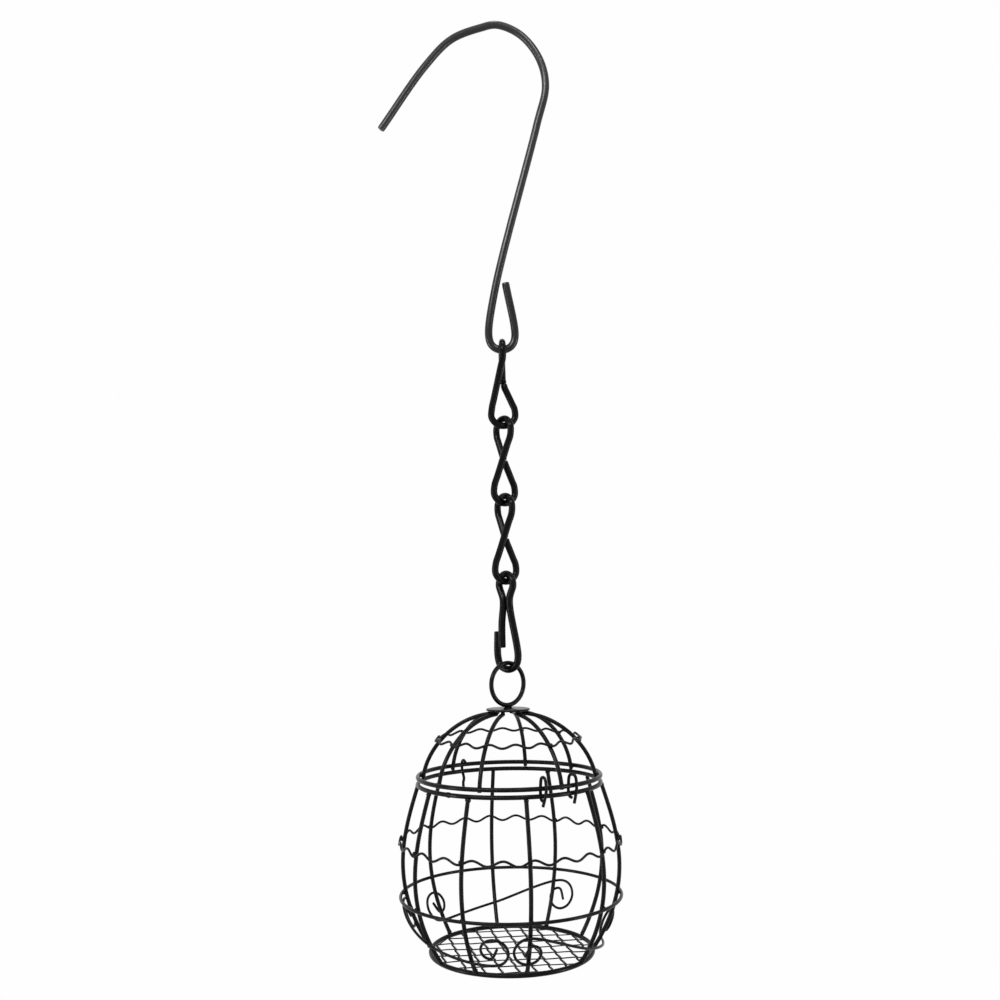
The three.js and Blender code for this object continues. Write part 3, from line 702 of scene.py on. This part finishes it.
def latchPiece():
    catch = -cage["rimSpacing"] - loopSide - loop["wire"]

    def place(out, height):
        return Vector((cage["rimRadius"] + out, loop["latchLean"] / loop["latchLength"] * height, height))

    def onEye(angle):
        turn = math.radians(angle)
        return place(loopSide * math.cos(turn), loopSide * math.sin(turn))

    points = [
        onEye(loop["latchEyeEnd"]), onEye(90), onEye(45), onEye(0), place(loopSide, -cage["rimSpacing"]),
        place(loop["latchCatch"], catch), place(loop["latchFlare"], (catch - loop["latchLength"]) / 2),
        place(loop["latchFlare"], -loop["latchLength"]),
    ]
    line = smoothLine(onWall(points, loop["latchAngle"]), loop["step"])
    wirePiece("latchWire", line, loop["wire"], cagePaint, "latch", "cage_paint", "latch_wire",
              sides=loop["sides"], seed=loop["latchSeed"])


for i in range(len(loop["angles"])):
    hingeLoop(i)
latchPiece()
print("hinge and latch ready")


# Floor netting: wires that twist together in pairs, part, and twist with the next wire along. The rows
# are level and pulled to one side.
net = {
    "start": (-1.06, 23.8), "column": (7.26, 0.45), "row": (1.75, -8.61), "twist": (2.5, -7.9), "wire": 0.56,
    "core": 0.62, "turns": 1.5, "twine": 0.52, "twistPoints": 16, "rows": (-3, 9), "wires": (-12, 13),
    "reach": 35.4, "step": 0.6, "fewest": 8, "sag": 0.3, "sagPace": 0.09, "sagStart": 3.1,
    "endReach": 0.9, "endHook": 0.5, "sides": 6, "seed": 60.0,
}


def netStroke(column, row):
    start, step, down = Vector(net["start"]), Vector(net["column"]), Vector(net["row"])
    return start + step * column + down * row


# One wire: the right one of its pair in one row, the left one in the next row, and so on downwards
def netLine(number, parity):
    along = Vector(net["twist"])
    across = Vector((-along.y, along.x)).normalized()
    twine = net["wire"] * net["twine"]
    line = []
    for row in range(*net["rows"]):
        column = number - (row - parity) // 2
        hand = 1 if (row - parity) % 2 == 0 else -1
        middle = netStroke(column, row)
        line.append((middle - along * 0.5).to_3d())
        for k in range(net["twistPoints"] + 1):
            t = k / net["twistPoints"]
            phase = 2 * math.pi * net["turns"] * t
            side = middle + along * (net["core"] * (t - 0.5)) + across * (hand * twine * math.cos(phase))
            line.append(Vector((side.x, side.y, hand * twine * math.sin(phase))))
        line.append((middle + along * 0.5).to_3d())
    return line


# The end of a wire at the edge of the floor, bent out and up
def netEnd(p):
    out = Vector((p.x, p.y, 0)).normalized()
    rim = Vector((out.x * net["reach"], out.y * net["reach"], p.z))
    foot = p.lerp(rim, net["endReach"])
    return [foot, foot + (out * net["endHook"] + Vector((0, 0, net["endHook"])))]


def netPiece():
    mesh = bmesh.new()
    sagPlace = Vector((net["sagStart"], 0, 0))
    for number in range(*net["wires"]):
        for parity in (0, 1):
            line = netLine(number, parity)
            dense = []
            for a, b in zip(line, line[1:]):
                parts = max(1, round((b - a).length / net["step"]))
                dense += [a.lerp(b, k / parts) for k in range(parts)]
            inside = [p for p in dense if p.xy.length < net["reach"]]
            if len(inside) < net["fewest"]:
                continue
            height = [baseHeight + net["sag"] * noise.noise(p * net["sagPace"] + sagPlace) for p in inside]
            sag = [Vector((p.x, p.y, p.z + z)) for p, z in zip(inside, height)]
            strand = netEnd(sag[0])[::-1] + sag + netEnd(sag[-1])
            sweepWire(mesh, strand, net["wire"], sides=net["sides"], seed=net["seed"] + number)
    addPiece("floorNet", mesh, netPaint, "basket", ("floor_net",))


netPiece()
print("netting ready")


# Weld nuggets: small lumps of metal where the wires of the cage cross. A spot on a rib is its share of the
# bow, how far it stands outside it, and its size along, across and through.
weld = {
    "lump": 0.22, "lumpPace": 1.6, "lumpSkew": 0.7, "lumpStart": 0.2, "least": 0.85, "most": 1.15,
    "lidSeed": 7, "lidTop": (0.02, 0.9, (1.3, 1.0, 0.8)), "lidWave": (1.1, (0.9, 0.95, 0.8)),
    "lidFoot": (0.995, 1.1, (1.1, 0.95, 1.0)), "bigRibs": (1, 5), "big": 1.45,
    "ringRise": 0.15, "ringSize": (2.6, 0.5, 1.1), "ringSeed": 3.3,
    "basketSeed": 11, "basketTop": (0.0, 0.0, (0.9, 1.15, 1.15)), "basketWave": (1.1, (0.85, 0.95, 0.8)),
    "belly": (1.1, (0.95, 1.0, 0.95)), "basketFoot": (1.0, 0.0, (0.9, 1.2, 1.2)),
    "rimAngle": -39, "rimSize": (2.4, 1.2, 1.2), "rimSeed": 9.4,
}


def nugget(mesh, centre, along, across, size, seed):
    made = bmesh.ops.create_icosphere(mesh, subdivisions=2, radius=1.0)
    third = along.cross(across).normalized()
    across = third.cross(along).normalized()
    lumpPlace = Vector((seed, seed * weld["lumpSkew"], weld["lumpStart"]))
    for vert in made["verts"]:
        p = vert.co * (1 + weld["lump"] * noise.noise(vert.co * weld["lumpPace"] + lumpPlace))
        vert.co = (centre + along * p.x * size[0] + across * p.y * size[1] + third * p.z * size[2]) * mm


def ribWelds(mesh, bow, base, angles, spots, chance, bigRibs=(), bigShare=None):
    for i, angle in enumerate(angles):
        out = around(1, angle, 0)
        sideWay = around(1, angle + 90, 0)
        for share, stand, size in spots:
            place = bow.outside(share, stand)
            slope = bow.tangent(share)
            along = (out * slope.x + Vector((0, 0, slope.y))).normalized()
            grow = chance.uniform(weld["least"], weld["most"])
            if i in bigRibs and share == bigShare:
                grow = weld["big"]
            centre = around(place.x, angle, base + place.y)
            nugget(mesh, centre, along, sideWay, [s * grow for s in size], i + share)


def weldsOfLid():
    mesh = bmesh.new()
    waveShare = lidRibBow.shareAt(lidSet["waveRise"])
    spots = (weld["lidTop"], (waveShare, *weld["lidWave"]), weld["lidFoot"])
    chance = random.Random(weld["lidSeed"])
    ribWelds(mesh, lidRibBow, lidRim, lidSet["angles"], spots, chance, weld["bigRibs"], waveShare)
    underRing = Vector((0, 0, crownTop + weld["ringRise"]))
    ringWay = planePoint(ringSet["yaw"], 1, 0)
    nugget(mesh, underRing, ringWay, Vector((0, 0, 1)), weld["ringSize"], weld["ringSeed"])
    addPiece("lidWelds", mesh, cagePaint, "lid")


def weldsOfBasket():
    mesh = bmesh.new()
    waveShare = basketRibBow.shareAt(-basketSet["waveDrop"])
    crossings = ((waveShare, *weld["basketWave"]), (bellyShare, *weld["belly"]))
    spots = (weld["basketTop"], *crossings, weld["basketFoot"])
    chance = random.Random(weld["basketSeed"])
    ribWelds(mesh, basketRibBow, basketRim, basketSet["angles"], spots, chance)
    rimJoin = around(cage["rimRadius"], weld["rimAngle"], basketRim)
    rimWay = around(1, weld["rimAngle"] + 90, 0)
    nugget(mesh, rimJoin, rimWay, Vector((0, 0, 1)), weld["rimSize"], weld["rimSeed"])
    addPiece("basketWelds", mesh, cagePaint, "basket")


weldsOfLid()
weldsOfBasket()
print("welds ready")


# Camera: a little below the middle, tipped up five degrees and rolled by about one
view = {
    "place": (-2.167, -532.2, -277.95), "tilt": 5.0, "roll": 0.016, "focalPixels": 1133.9, "pixels": 1000,
    "sensor": 36, "near": 0.01, "far": 50,
}
tilt = math.radians(view["tilt"])
right = Vector((1, 0, 0))
up = Vector((0, -math.sin(tilt), math.cos(tilt)))
ahead = Vector((0, math.cos(tilt), math.sin(tilt)))
cameraRight = right * math.cos(view["roll"]) - up * math.sin(view["roll"])
cameraUp = up * math.cos(view["roll"]) + right * math.sin(view["roll"])
turnMatrix = Matrix((cameraRight, cameraUp, -ahead)).transposed().to_4x4()
lens = bpy.data.cameras.new("photoCamera")
lens.sensor_width = view["sensor"]
lens.lens = view["focalPixels"] * view["sensor"] / view["pixels"]
lens.clip_start = view["near"]
lens.clip_end = view["far"]
camera = bpy.data.objects.new("photoCamera", lens)
bpy.context.scene.collection.objects.link(camera)
camera.matrix_world = Matrix.Translation(Vector(view["place"]) * mm) @ turnMatrix
bpy.context.scene.camera = camera


# Stage: a pale floor far below the hanging cage, and a white surround. Both are white to the camera and in
# reflections, and dimmer as lights.
stageSet = {
    "white": 0.99, "worldLight": 0.3, "worldColour": (0.97, 0.98, 1, 1), "floorDrop": 1.25, "floorSize": 40,
    "floorGrain": 6, "floorShades": (0.86, 0.9), "floorGlow": 0.985,
}


def whiteForCamera(tree, seen, lit):
    path = tree.nodes.new("ShaderNodeLightPath")
    looking = path.outputs["Is Camera Ray"]
    for ray in ("Is Glossy Ray", "Is Transmission Ray"):
        either = tree.nodes.new("ShaderNodeMath")
        either.operation = "MAXIMUM"
        tree.links.new(looking, either.inputs[0])
        tree.links.new(path.outputs[ray], either.inputs[1])
        looking = either.outputs[0]
    mix = tree.nodes.new("ShaderNodeMixShader")
    tree.links.new(looking, mix.inputs[0])
    tree.links.new(lit, mix.inputs[1])
    tree.links.new(seen, mix.inputs[2])
    return mix.outputs[0]


def whiteRoom():
    world = bpy.data.worlds.new("whiteRoom")
    bpy.context.scene.world = world
    world.use_nodes = True
    tree = world.node_tree
    tree.nodes.clear()
    output = tree.nodes.new("ShaderNodeOutputWorld")
    seen = tree.nodes.new("ShaderNodeBackground")
    seen.inputs["Color"].default_value = (1, 1, 1, 1)
    seen.inputs["Strength"].default_value = stageSet["white"]
    lit = tree.nodes.new("ShaderNodeBackground")
    lit.inputs["Color"].default_value = stageSet["worldColour"]
    lit.inputs["Strength"].default_value = stageSet["worldLight"]
    tree.links.new(whiteForCamera(tree, seen.outputs[0], lit.outputs[0]), output.inputs["Surface"])


def paleFloor():
    material = bpy.data.materials.new("floorPaint")
    material.use_nodes = True
    tree = material.node_tree
    tree.nodes.clear()
    output = tree.nodes.new("ShaderNodeOutputMaterial")
    matt = tree.nodes.new("ShaderNodeBsdfDiffuse")
    grain = tree.nodes.new("ShaderNodeTexNoise")
    grain.inputs["Scale"].default_value = stageSet["floorGrain"]
    shade = tree.nodes.new("ShaderNodeValToRGB")
    for element, grey in zip(shade.color_ramp.elements, stageSet["floorShades"]):
        element.color = (grey, grey, grey, 1)
    tree.links.new(grain.outputs["Fac"], shade.inputs["Fac"])
    tree.links.new(shade.outputs["Color"], matt.inputs["Color"])
    glow = tree.nodes.new("ShaderNodeEmission")
    soft = tree.nodes.new("ShaderNodeMixShader")
    soft.inputs[0].default_value = stageSet["floorGlow"]
    tree.links.new(matt.outputs[0], soft.inputs[1])
    tree.links.new(glow.outputs[0], soft.inputs[2])
    tree.links.new(whiteForCamera(tree, soft.outputs[0], matt.outputs[0]), output.inputs["Surface"])
    return material


whiteRoom()
floorMesh = bpy.data.meshes.new("studioFloor")
half = stageSet["floorSize"] / 2
floorCorners = [(-half, -half, 0), (half, -half, 0), (half, half, 0), (-half, half, 0)]
floorMesh.from_pydata(floorCorners, [], [(0, 1, 2, 3)])
floorMesh.materials.append(paleFloor())
floor = bpy.data.objects.new("studioFloor", floorMesh)
floor.location = (0, 0, -stageSet["floorDrop"])
bpy.context.scene.collection.objects.link(floor)


# Soft boxes: place and aim in metres, width and height, and watts
lights = [
    ("leftBox", (-0.75, -1.2, 0.68), (0, 0, -0.06), (1.1, 0.34), 21),
    ("leftStrip", (-1.0, -0.35, -0.42), (0, 0, -0.3), (0.1, 0.8), 5.5),
    ("rightStrip", (1.0, -0.35, -0.42), (0, 0, -0.3), (0.1, 0.8), 4.5),
    ("topBox", (0.0, -0.1, 1.1), (0, 0, -0.2), (0.16, 0.16), 3.2),
    ("frontBox", (0.25, -0.8, 0.62), (0, 0, -0.25), (0.16, 0.16), 3.4),
]


def softBox(name, place, aim, size, power):
    data = bpy.data.lights.new(name, "AREA")
    data.shape = "RECTANGLE"
    data.size, data.size_y = size
    data.energy = power
    lamp = bpy.data.objects.new(name, data)
    bpy.context.scene.collection.objects.link(lamp)
    lamp.location = place
    lamp.rotation_mode = "QUATERNION"
    lamp.rotation_quaternion = (Vector(aim) - Vector(place)).to_track_quat("-Z", "Y")


for settings in lights:
    softBox(*settings)
bpy.context.scene.view_settings.view_transform = "Standard"
print("stage ready")
